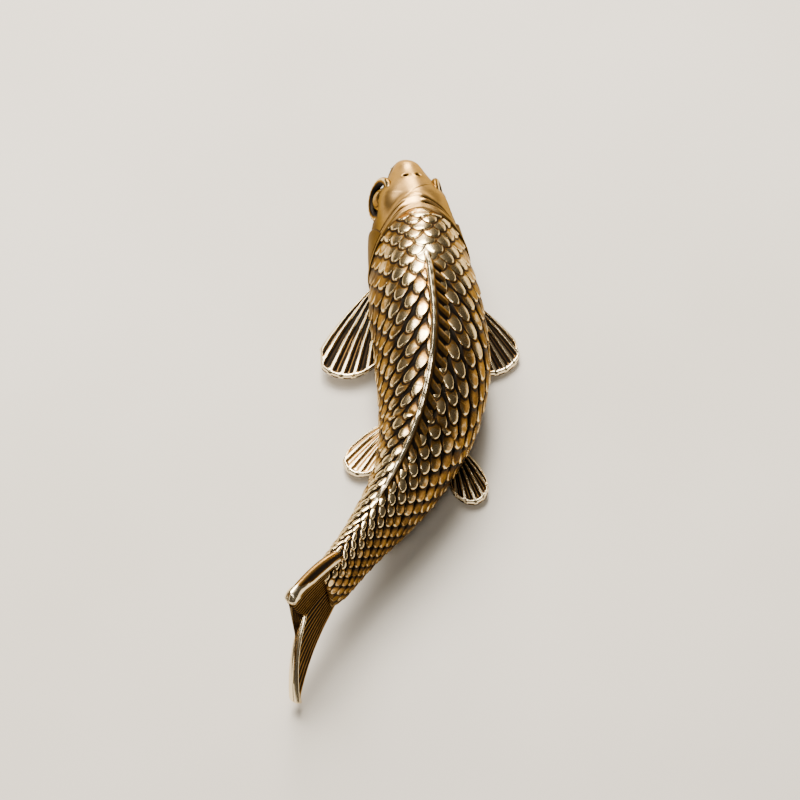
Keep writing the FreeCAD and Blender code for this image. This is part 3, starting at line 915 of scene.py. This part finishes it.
@dataclass
class GillCover:
    """Plate behind the cheek: a shell between a front and a rear arc, with a raised rear rim."""

    side: Side
    rows: int = 110
    cols: int = 90
    foot: float = 1.8
    rear_centre: float = 5.7
    rear_radius: float = 13.2
    front_centre: float = 20.0
    front_radius: float = 9.0
    middle_height: float = 6.5
    rise: float = 0.3
    seat: float = 0.55
    corner: float = 0.45
    carving: float = 0.12

    def skin(self) -> Skin:
        """The shell.

        Rings are level, from the foot to the apex, where the two circles cross. Each runs from the
        front circle to the rear one over the outer face and back over the inner one.

        Returns:
            The skin.
        """
        crossing = (self.rear_radius ** 2 - self.front_radius ** 2 + self.front_centre ** 2
                    - self.rear_centre ** 2) / (2 * (self.front_centre - self.rear_centre))
        apex = math.sqrt(self.rear_radius ** 2 - (crossing - self.rear_centre) ** 2)
        low = self.foot - self.middle_height
        rise = np.linspace(low, apex - 0.02, self.rows)[:, None]
        front = self.front_centre - np.sqrt(self.front_radius ** 2 - rise ** 2)
        rear = self.rear_centre + np.sqrt(self.rear_radius ** 2 - rise ** 2)
        share, face = there_and_back(self.cols)
        along = front + (rear - front) * share
        behind = rear - along
        edge = np.minimum(np.minimum(behind, along - front), np.minimum(apex - rise, rise - low))
        rim = bell(behind, 0.45, 0.25)
        groove = bell(behind, 0.95, 0.2)
        outer = (self.rise + 0.3) * rounded(edge, self.corner) - 0.3
        lift = np.where(face > 0, outer + self.carving * (rim - groove), -self.seat)
        _, middle, half_height = TRUNK.outline(along)
        level = np.clip((rise + self.middle_height - middle) / half_height, -1.0, 1.0)
        rings = TRUNK.surface(along, self.side.value * np.arccos(level), lift)
        # The whole plate is darkened as painted shade on the side of the head, on top of oxide in
        # its groove and along its edges; its rear rim is rubbed metal with a painted highlight.
        patina = 0.5 + 0.5 * groove + 0.4 * ease(0.4, 0.0, edge)
        return Skin(self.side.named("gill_plate"), "smooth_brass", self.side.named("gill_cover"),
                    rings, patina, 0.7 * rim)


@dataclass
class Eye:
    """Domed eye with a ring cut round the pupil, and the thick notched rim about it."""

    side: Side
    radius: float = 1.95
    sink: float = 0.5
    pupil: float = 0.62
    ring_radius: float = 2.55
    ring_thickness: float = 0.55
    ring_out: float = 0.45
    ring_long: float = 1.04
    ring_high: float = 0.98
    notches: int = 26
    notch_depth: float = 0.16

    def ball(self) -> Skin:
        """The eyeball: a sphere whose front is cut by a narrow ring, from pole to pole.

        Returns:
            The skin.
        """
        tilt = np.linspace(0.001, math.pi - 0.001, 70)[:, None]
        spin = np.linspace(0, 2 * math.pi, 96, endpoint=False)[None, :]
        ring = bell(tilt, self.pupil, 0.05)
        radius = self.radius * (1 - 0.02 * ring) * np.ones_like(spin)
        across = radius * np.sin(tilt)
        rings = EyeSeat(self.side).place(radius * np.cos(tilt) - self.sink, across * np.cos(spin),
                                         across * np.sin(spin))
        patina = 0.25 + 0.3 * ring + 0.7 * ease(0.85, 1.3, tilt)
        return Skin(self.side.named("eyeball"), "polished_brass", self.side.named("eye"), rings,
                    patina)

    def rim(self) -> Skin:
        """The rim: a tube carried round a circle that is a little longer along the fish,
        its outer side waved by the notches.

        Returns:
            The skin.
        """
        spin = np.linspace(0, 2 * math.pi, 361)[:, None]
        tube = np.linspace(0, 2 * math.pi, 40, endpoint=False)[None, :]
        notch = (0.5 + 0.5 * np.cos(self.notches * spin)) * ease(0.35, -0.25, np.sin(spin))
        notch = notch * ease(-0.2, 0.9, np.cos(tube))
        thick = self.ring_thickness * (1 - self.notch_depth * notch)
        reach = self.ring_radius + thick * np.cos(tube)
        rings = EyeSeat(self.side).place(self.ring_out + thick * np.sin(tube),
                                         reach * np.cos(spin) * self.ring_long,
                                         reach * np.sin(spin) * self.ring_high)
        # The outer crest of the rim is lightened, rubbed metal and painted highlight; its inner
        # side and the notches are dark with oxide.
        patina = 0.38 + 0.45 * notch + 0.6 * ease(-0.1, -0.8, np.cos(tube))
        return Skin(self.side.named("eye_rim"), "polished_brass", self.side.named("eye_ring"),
                    rings, patina, 0.9 * bell(tube, 1.1, 0.4))


# ---- Fins ----


@dataclass
class FanFin:
    """Fin that opens like a fan, with a raised ray along each fold and a rim along its edge.

    Rays leave the root at even steps of width and angle and end on an oval. The fin's own axes are
    its thickness, length and width, turned and moved to the root.
    """

    name: str
    side: Side
    along: float
    across: float
    height: float
    turns: Array
    width: float
    first: float
    last: float
    root_web: float
    rays: int
    trim_out: float
    trim_across: float
    trim_long: float
    trim_wide: float
    tip_web: float = 0.5
    rib: float = 0.3
    bulge: float = 0.45
    # Share by which the whole fin is lightened: painted light, for a fin that faces the lamps.
    painted_light: float = 0.0
    root_depth: float = 0.6
    rows: int = 110
    cols: int = 260

    def reach(self, slope: Array, offset: Array) -> Array:
        """Length at which a ray, a straight line of that slope and offset, leaves the oval: the
        larger root of the quadratic that the line and the oval make.

        Args:
            slope: Step across for each step out.
            offset: Where the ray leaves the root.

        Returns:
            Length in millimetres.
        """
        low = offset - self.trim_across
        a = 1 / self.trim_long ** 2 + slope ** 2 / self.trim_wide ** 2
        b = 2 * slope * low / self.trim_wide ** 2 - 2 * self.trim_out / self.trim_long ** 2
        c = (self.trim_out / self.trim_long) ** 2 + (low / self.trim_wide) ** 2 - 1
        return (-b + np.sqrt(np.maximum(b * b - 4 * a * c, 0.0))) / (2 * a)

    def skin(self) -> Skin:
        """The fin: rings at growing shares of the rays' lengths, each over the upper face
        and back under the lower one.

        Returns:
            The skin.
        """
        sign = self.side.value
        share, face = there_and_back(self.cols)
        grow = (1 - (1 - np.linspace(0, 1, self.rows)) ** 1.6)[:, None]
        slope = -sign * np.tan(np.radians(self.first + (self.last - self.first) * share))
        offset = -sign * (share - 0.5) * self.width
        whole = self.reach(slope, offset)
        whole = whole * (1 - 0.13 * ease(0.16, 0.0, share) - 0.07 * ease(0.14, 0.0, 1 - share))
        run = (whole + self.root_depth) * grow - self.root_depth
        swell = sign * self.bulge * (1 - share) ** 3 * 4 * grow * (1 - grow)
        phase = share * (self.rays - 1)
        ray = ridges(phase, 3.6)
        beside = np.abs(phase - np.round(phase))
        left = (1 - grow) * whole
        flank = np.minimum(share, 1 - share) * whole
        rim = np.clip(bell(left, 0.35, 0.3) + bell(flank, 0.25, 0.25), 0, 1)
        split = bell(beside, 0.0, 0.07) * ease(0.55, 0.85, grow)
        web = self.root_web + (self.tip_web - self.root_web) * grow
        thick = web * 0.4 + self.rib * (np.maximum(ray, rim) - 0.3 * split)
        thick = thick * rounded(left, 0.55) * rounded(flank * 0.9, 0.5)
        middle = offset + slope * run + swell
        local = np.stack(np.broadcast_arrays(face * thick, run, middle), -1) @ self.turns.T
        points = TRUNK.spine.place(self.along, self.across + local[..., 0],
                                   self.height + local[..., 2], local[..., 1])
        points[..., 2] = np.maximum(points[..., 2], 0.02)
        # Ray crests and the fin's edges are lightened, rubbed metal and painted highlight; a thin
        # lighter line without relief runs midway between rays towards the tip; the grooves are dark
        # with oxide, and the whole fin is lightened by its painted-light share.
        between = 0.45 * bell(beside, 0.5, 0.06) * ease(0.25, 0.6, grow)
        high = np.maximum(np.maximum(ray, rim), between)
        patina = np.clip(1.0 - ease(0.2, 0.6, high) + 0.4 * split, 0, 1) * (1 - self.painted_light)
        return Skin(self.name + "_blade", "fin_brass", self.name, points, patina, 0.5 * high)


def paired_fins() -> list[FanFin]:
    """The four paired fins, each at its own place and angle.

    Returns:
        The fins.
    """
    sizes = {
        "left_pectoral_fin": dict(
            along=18.9, across=-5.2, height=4.2, turn=19.5, tilt=15.0, width=4.0, first=-26.0,
            last=24.0, root_web=1.4, rays=10, trim_out=5.0, trim_across=-3.0, trim_long=7.4,
            trim_wide=5.9),
        "right_pectoral_fin": dict(
            along=20.8, across=5.5, height=4.2, turn=21.0, tilt=15.0, width=2.4, first=-23.5,
            last=25.0, root_web=1.4, rays=9, trim_out=4.0, trim_across=0.9, trim_long=7.4,
            trim_wide=5.8),
        "left_pelvic_fin": dict(
            along=39.2, across=-4.3, height=2.8, turn=31.0, tilt=10.0, width=1.8, first=-20.0,
            last=21.0, root_web=1.1, rays=7, trim_out=4.9, trim_across=-0.9, trim_long=4.8,
            # The left pelvic fin is lightened all over as painted light.
            trim_wide=3.3, painted_light=0.7),
        "right_pelvic_fin": dict(
            along=42.6, across=3.7, height=2.8, turn=32.0, tilt=14.0, width=1.4, first=-24.0,
            last=22.0, root_web=1.1, rays=7, trim_out=3.7, trim_across=0.3, trim_long=4.2,
            trim_wide=2.9),
    }
    fins = []
    for name, size in sizes.items():
        side = Side.LEFT if name.startswith("left") else Side.RIGHT
        yaw = turn("z", 180 + side.value * size.pop("turn"))
        turns = yaw @ turn("y", -90) @ turn("z", size.pop("tilt"))
        fins.append(FanFin(name, side, turns=turns, **size))
    return fins


def anal_fin() -> FanFin:
    """Small fin under the stalk, pointing back and down."""
    return FanFin("anal_fin", Side.LEFT, along=53.8, across=0.0, height=3.4, width=2.4,
                  turns=turn("x", 200.0), first=-10.0, last=12.0, root_web=1.0, rays=6,
                  trim_out=0.0, trim_across=0.0, trim_long=3.7, trim_wide=3.6, rib=0.14, rows=40,
                  cols=120)


@dataclass
class TailFin:
    """Forked upright fin; shares run from the low lobe's foot over the notch to the high top."""

    along: float = 68.0
    root_low: float = 4.6
    root_high: float = 12.0
    root_depth: float = 0.8
    shares: Row = (0.0, 0.06, 0.5, 0.95, 1.0)
    ends_out: Row = (15.9, 16.6, 8.8, 10.85, 10.05)
    ends_up: Row = (0.7, 1.7, 10.0, 15.4, 16.2)
    low_swell: float = 0.9
    high_swell: float = 0.45
    low_bow: float = 13.4
    high_bow: float = 0.9
    bow_length: float = 19.0
    span: float = 14.0
    rays: int = 21
    root_web: float = 1.4
    tip_web: float = 0.9
    rib: float = 0.16
    roll_lift: float = 0.22
    rows: int = 130
    cols: int = 520

    def skin(self) -> Skin:
        """The tail fin.

        Each ray is a curve of the second order from the root line to the rear edge, two swelling
        lines that meet in the notch. The fin leans to the fish's right with the distance out, more
        at the low lobe. The high lobe's upper edge is rolled over, with a thin raised line along it
        that carries a painted highlight and a knob at its end, and the low lobe's rear edge is
        thickened. The rays, the notch's edge, the roll, the line, the knob and the low lobe's edge
        are lightened, partly as rubbed metal and partly as painted highlights.

        Returns:
            The skin.
        """
        share, face = there_and_back(self.cols)
        grow = (1 - (1 - np.linspace(0, 1, self.rows)) ** 1.5)[:, None]
        low = np.clip((share - 0.06) / 0.44, 0, 1)
        high = np.clip((share - 0.5) / 0.45, 0, 1)
        swell = self.low_swell * 4 * low * (1 - low)
        swell_high = self.high_swell * 4 * high * (1 - high)
        end_out = np.interp(share, self.shares, self.ends_out) + 0.67 * swell + 0.88 * swell_high
        end_up = np.interp(share, self.shares, self.ends_up) + 0.74 * swell - 0.48 * swell_high
        start_up = self.root_low + (self.root_high - self.root_low) * share
        mid_up = (start_up + end_up) / 2 + 0.5 * (1 - share) ** 3 + 2.0 * share ** 3
        start, middle, end = (1 - grow) ** 2, 2 * grow * (1 - grow), grow ** 2
        out = middle * end_out * 0.5 + end * end_out - self.root_depth * start
        up = start * start_up + middle * mid_up + end * end_up
        left = (1 - grow) * np.hypot(end_out, end_up - start_up)
        side = np.minimum(share, 1 - share) * self.span * (0.5 + 0.5 * grow)
        upper = ease(0.5, 0.8, share)
        ray = ridges(share * (self.rays - 1), 2.5)
        fork = bell(left, 0.15, 0.55) * ease(0.56, 0.44, share)
        roll = bell(side, 0.8, 0.65) * upper
        line = 0.5 * grow ** 2 - 0.85 + 0.15 * np.sin(9 * grow)
        crest = bell(face * side, line, 0.2) * upper
        knob = bell(left, 0.9, 0.8) * ease(0.8, 0.95, share)
        foot = bell(side, 0.4, 0.4) * ease(0.6, 0.4, share)
        rim = np.clip(fork + 0.4 * roll + crest + knob + 0.6 * foot, 0, 1)
        tip_web = self.tip_web * (1 - 0.55 * bell(share, 0.6, 0.22))
        web = self.root_web + (tip_web - self.root_web) * grow
        relief = self.rib * np.maximum(ray * ease(0.05, 0.3, grow), rim) + self.roll_lift * roll
        relief = relief + (0.12 + 0.25 * ease(0.35, 0.05, share)) * fork + 0.1 * knob
        lift = face * (web * 0.45 + relief) * rounded(left, 0.5) * rounded(side, 0.5)
        bow = np.radians(self.low_bow + (self.high_bow - self.low_bow) * share)
        aside = np.abs(out) * out / self.bow_length * np.tan(bow)
        points = TRUNK.spine.place(self.along, aside - lift, up, -out)
        points[..., 2] = np.maximum(points[..., 2], 0.02)
        # Lightened as rubbed metal and painted highlight: the rays, the notch's edge, the roll, the
        # thin line along it, the knob and the low lobe's edge.
        patina = 0.85 - ease(0.1, 0.8, np.maximum(ray * 0.55, rim)) * 0.8
        return Skin("tail_blade", "fin_brass", "tail_fin", points, patina, 0.6 * rim ** 2)


@dataclass
class DorsalFin:
    """Low fin folded down to the fish's right: a ridge with slanted rays beside it, its top and
    the rays' crests lightened as rubbed metal and painted highlight.

    The profile is the distance to the right and the share of the ridge's rise round a ring.
    """

    stations: Row = (21.6, 25.0, 33.0, 41.0, 49.0, 57.0, 60.0)
    rises: Row = (0.1, 1.4, 1.6, 1.3, 0.9, 0.35, -0.2)
    reaches: Row = (0.5, 2.1, 2.2, 2.0, 1.6, 0.9, 0.4)
    profile: Row = (0.0, 0.16, 0.3, 0.42, 0.5, 0.62, 0.8, 0.88, 1.0)
    profile_side: Row = (-0.6, -0.45, -0.3, 0.0, 0.3, 1.0, 1.9, 1.7, -0.6)
    profile_level: Row = (-0.9, 0.0, 0.9, 1.0, 0.85, 0.5, 0.05, -0.9, -0.9)
    profile_reach: float = 1.9
    pitch: float = 1.8
    slant: float = 0.55
    groove: float = 0.26
    scallop: float = 0.18
    rows: int = 420
    cols: int = 88

    def skin(self) -> Skin:
        """The fin.

        Rings stand across the back: a steep left side, a rounded crest and a long right side that
        the rays wave, closed inside the trunk. The waves' phase grows along the fish and falls
        with the distance out, so the rays slant back.

        Returns:
            The skin.
        """
        along = np.linspace(self.stations[0], self.stations[-1], self.rows)[:, None]
        rise = smooth(self.stations, self.rises, along)
        wide = smooth(self.stations, self.reaches, along) / self.profile_reach
        _, middle, half_height = TRUNK.outline(along)
        round_ring = np.linspace(0, 1, self.cols, endpoint=False)[None, :]
        side = np.interp(round_ring, self.profile, self.profile_side)
        level = np.interp(round_ring, self.profile, self.profile_level)
        wave = ridges((along - self.slant * np.maximum(side, 0)) / self.pitch, 1.1)
        right = ease(0.3, 0.9, side)
        dip = (1 - wave) * right
        reach = np.where(side > 0.3, 0.3 + (side - 0.3) * wide, side) * (1 - self.scallop * dip)
        up = np.where(level > 0, level * rise, level) - self.groove * dip * ease(-0.2, 0.1, level)
        up = up + 0.07 * wave * bell(side, 0.0, 0.4)
        furrow = bell(side, 0.02, 0.12) * ease(37.0, 39.0, along) * ease(48.0, 45.0, along)
        up = up - 0.16 * furrow * (level > 0)
        fall = 1 - np.sqrt(np.maximum(1 - (np.abs(side) / 7.0) ** 2, 0))
        base = middle + half_height - fall * half_height * 0.6
        points = TRUNK.spine.place(along, reach, base + up)
        # The top of the ridge, widest near its front, and the rays' crests are lightened: rubbed
        # metal and painted highlight; the grooves between rays are dark with oxide.
        crest = bell(side, 0.0, 0.42 + 0.3 * bell(along, 25.5, 2.5)) * (level > 0.3)
        patina = 1 - 0.95 * np.maximum(crest, 0.8 * ease(0.3, 0.8, wave) * right)
        return Skin("dorsal_blade", "fin_brass", "dorsal_fin", points, patina, 0.7 * crest)


# ---- Studio ----


@dataclass(frozen=True)
class Lamp:
    """Area light: where it stands and its width and height in millimetres, watts and colour."""

    name: str
    place: tuple[float, float, float]
    size: tuple[float, float]
    power: float
    tint: str = "#FFF8EE"

    def build(self, target: Vector) -> None:
        """Makes the light, which faces the target."""
        data = bpy.data.lights.new(self.name, "AREA")
        data.shape = "RECTANGLE"
        data.size, data.size_y = (edge * MM for edge in self.size)
        data.energy = self.power
        data.color = colour(self.tint)[:3]
        lamp = show(self.name, data)
        lamp.location = Vector(self.place) * MM
        lamp.rotation_euler = (target - lamp.location).to_track_quat("-Z", "Y").to_euler()


@dataclass
class Studio:
    """Pale floor, soft lights, and the camera behind and above the tail."""

    lamps: tuple[Lamp, ...] = (
        Lamp("softbox_over_head", (-100, 320, 430), (340, 260), 6.5),
        Lamp("strip_over_back", (-15, 290, 440), (100, 300), 3.3),
        Lamp("panel_ahead", (-20, 560, 130), (150, 200), 3.4, "#FFF6EA"),
        Lamp("softbox_overhead", (-60, 70, 480), (180, 160), 1.2),
        Lamp("side_fill", (-420, -60, 260), (120, 300), 0.4, "#FFF3E2"),
        Lamp("softbox_behind", (-40, -300, 520), (140, 140), 0.8),
    )
    room: str = "#8F877C"
    room_strength: float = 0.24
    floor_reach: float = 1500.0
    target: tuple[float, float, float] = (-1.06, 7.61, 0.0)
    distance: float = 600.0
    elevation: float = 57.0
    lens: float = 200.0
    sensor: float = 36.0

    def floor(self) -> None:
        """Makes the floor."""
        reach = self.floor_reach * MM
        corners = [(-reach, -reach, 0), (reach, -reach, 0), (reach, reach, 0), (-reach, reach, 0)]
        mesh = bpy.data.meshes.new("floor")
        mesh.from_pydata(corners, [], [(0, 1, 2, 3)])
        mesh.materials.append(PaleFloor().build())
        floor = show("floor", mesh)

    def camera(self, target: Vector) -> None:
        """Makes the camera, which faces the target from behind the tail."""
        data = bpy.data.cameras.new("camera")
        data.lens, data.sensor_width = self.lens, self.sensor
        data.clip_start, data.clip_end = 0.02, 20.0
        camera = show("camera", data)
        tilt = math.radians(self.elevation)
        back = Vector((0.0, -math.cos(tilt), math.sin(tilt)))
        camera.location = target + back * self.distance * MM
        camera.rotation_euler = (-back).to_track_quat("-Z", "Y").to_euler()
        bpy.context.scene.camera = camera

    def build(self) -> None:
        """Makes the floor, the lights, the surroundings and the camera."""
        target = Vector(self.target) * MM
        self.floor()
        for lamp in self.lamps:
            lamp.build(target)
        world = bpy.data.worlds.new("studio")
        world.use_nodes = True
        background = world.node_tree.nodes["Background"].inputs
        background["Color"].default_value = colour(self.room)
        background["Strength"].default_value = self.room_strength
        bpy.context.scene.world = world
        self.camera(target)


def main() -> None:
    """Builds the fish from the trunk outwards, then the studio."""
    logging.basicConfig(level=logging.INFO, format="%(name)s: %(message)s")
    materials = {slot: finish.build() for slot, finish in FINISHES.items()}
    head = Head()
    skins = Body().skins() + [head.skin(), LowerJaw(head).skin()]
    for side in Side:
        skins += [GillCover(side).skin(), Eye(side).ball(), Eye(side).rim()]
    fins = [DorsalFin(), *paired_fins(), anal_fin(), TailFin()]
    for skin in skins + [fin.skin() for fin in fins]:
        skin.build(materials[skin.slot])
    Studio().build()


if __name__ == "__main__":
    main()
